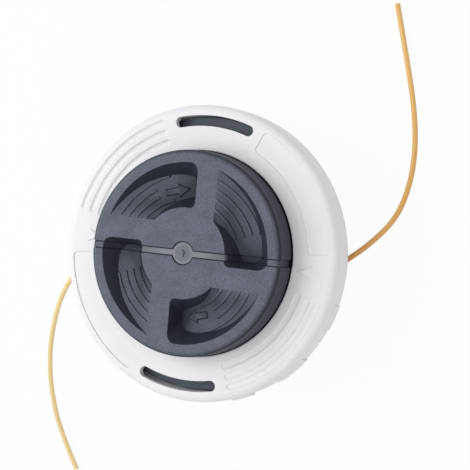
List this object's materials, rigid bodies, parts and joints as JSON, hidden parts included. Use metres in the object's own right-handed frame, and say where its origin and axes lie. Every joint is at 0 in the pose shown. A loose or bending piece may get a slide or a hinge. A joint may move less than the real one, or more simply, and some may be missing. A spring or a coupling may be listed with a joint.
{
  "type": "bump feed trimmer head",
  "caption": "Round nylon line trimmer head with a scooped winding knob that bumps in to feed line, a slotted cover ring and a threaded drive hub.",
  "frame": {"origin": "centre of the drive side hub face, on the spindle axis", "axes": "+Z along the spindle axis towards the bump knob, +X through line eyelet a"},
  "size_m": [0.1765, 0.2359, 0.0612],
  "materials": {
    "white_nylon": "fine moulded texture, satin",
    "dark_nylon": "spark eroded texture, matt",
    "line_nylon": "extruded, slightly translucent",
    "plated_steel": "zinc plated",
    "spring_steel": "drawn wire"
  },
  "bodies": {
    "housing": {"rear_housing": "white_nylon", "front_ring": "white_nylon", "drive_nut": "plated_steel", "line_eyelet_a": "plated_steel", "line_eyelet_b": "plated_steel", "bump_spring": "spring_steel", "line_tail_a": "line_nylon", "line_tail_b": "line_nylon"},
    "spring_seat": {"thrust_washer": "plated_steel"},
    "spool": {"spool": "dark_nylon", "wound_line_upper": "line_nylon", "wound_line_lower": "line_nylon", "bump_knob": "dark_nylon"}
  },
  "joints": [
    {"name": "knob_bump", "type": "slide", "parent": "housing", "child": "spring_seat", "axis": [0, 0, -1], "range_m": [0, 0.0045], "stiffness_N_per_m": 2500, "springref_m": -0.008, "deforming": ["bump_spring"]},
    {"name": "spool_turn", "type": "hinge", "parent": "spring_seat", "child": "spool", "pos_m": [0, 0, 0.03], "axis": [0, 0, -1], "continuous": true}
  ]
}
